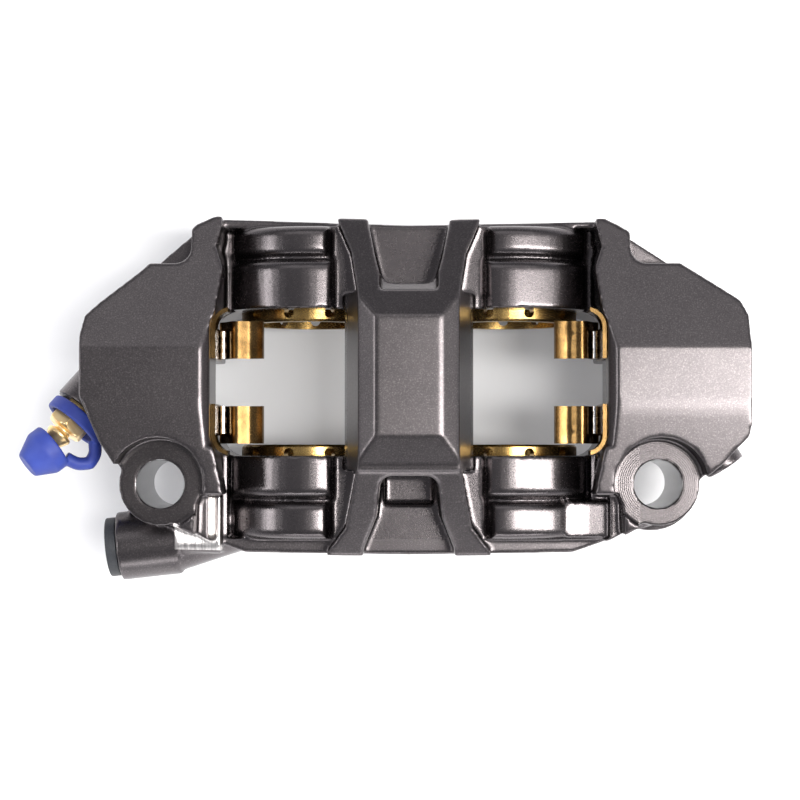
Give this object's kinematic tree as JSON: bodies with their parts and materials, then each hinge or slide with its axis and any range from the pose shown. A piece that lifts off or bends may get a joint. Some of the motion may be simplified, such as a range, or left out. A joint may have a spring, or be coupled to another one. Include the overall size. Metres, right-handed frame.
{
  "type": "motorcycle brake caliper",
  "caption": "radial-mount fixed brake caliper, one-piece dark anodised body with opposed gold pistons, abutment plates, bleed screw with blue cap and plugged line port",
  "frame": {"origin": "middle of the two mounting bolts, on the lug faces that meet the fork bracket", "axes": "+X along the caliper and the bolt line, +Y from the mounting side across the disc to the far half, +Z away from the wheel hub, out through the bridge"},
  "size_m": [0.1602, 0.0802, 0.0595],
  "materials": {
    "anodised_body": "fine matte hard-anodised, dark brown-grey",
    "gold_piston": "gold-coloured anodised, turned, satin gloss",
    "gold_plate": "gold-coloured coated sheet steel, brushed",
    "steel": "bright steel",
    "brass": "yellow passivated, turned",
    "blue_rubber": "matte moulded rubber",
    "black_plastic": "matte moulded plastic",
    "seal_rubber": "black, square section",
    "copper": "dull copper-coloured plug"
  },
  "bodies": {
    "caliper": {"caliper_body": "anodised_body", "upper_passage_plug": "copper", "lower_passage_plug": "copper", "dust_seal_near_left": "seal_rubber", "fluid_seal_near_left": "seal_rubber", "abutment_plate_near_left": "gold_plate", "plate_pin_near_left": "steel", "dust_seal_far_left": "seal_rubber", "fluid_seal_far_left": "seal_rubber", "abutment_plate_far_left": "gold_plate", "plate_pin_far_left": "steel", "dust_seal_near_right": "seal_rubber", "fluid_seal_near_right": "seal_rubber", "abutment_plate_near_right": "gold_plate", "plate_pin_near_right": "steel", "dust_seal_far_right": "seal_rubber", "fluid_seal_far_right": "seal_rubber", "abutment_plate_far_right": "gold_plate", "plate_pin_far_right": "steel"},
    "piston_near_left_body": {"piston_near_left": "gold_piston"},
    "piston_far_left_body": {"piston_far_left": "gold_piston"},
    "piston_near_right_body": {"piston_near_right": "gold_piston"},
    "piston_far_right_body": {"piston_far_right": "gold_piston"},
    "bleed_screw_body": {"bleed_screw": "brass"},
    "bleed_cap_body": {"bleed_cap": "blue_rubber"},
    "port_plug_body": {"port_plug": "black_plastic"}
  },
  "joints": [
    {"name": "piston_near_left_slide", "type": "slide", "parent": "caliper", "child": "piston_near_left_body", "axis": [0, 1, 0], "range_m": [-0.0025, 0.007]},
    {"name": "piston_far_left_slide", "type": "slide", "parent": "caliper", "child": "piston_far_left_body", "axis": [0, -1, 0], "range_m": [-0.0025, 0.007]},
    {"name": "piston_near_right_slide", "type": "slide", "parent": "caliper", "child": "piston_near_right_body", "axis": [0, 1, 0], "range_m": [-0.0025, 0.007]},
    {"name": "piston_far_right_slide", "type": "slide", "parent": "caliper", "child": "piston_far_right_body", "axis": [0, -1, 0], "range_m": [-0.0025, 0.007]},
    {"name": "bleed_screw_turn", "type": "hinge", "parent": "caliper", "child": "bleed_screw_body", "pos_m": [-0.0731, 0.0161, 0.021], "axis": [-0.6201, -0.7401, 0.2601], "range_deg": [0, 180]},
    {"name": "bleed_cap_pull", "type": "slide", "parent": "caliper", "child": "bleed_cap_body", "axis": [-0.6201, -0.7401, 0.2601], "range_m": [0, 0.005]},
    {"name": "port_plug_pull", "type": "slide", "parent": "caliper", "child": "port_plug_body", "axis": [-0.9939, -0.11, 0], "range_m": [0, 0.014]}
  ]
}
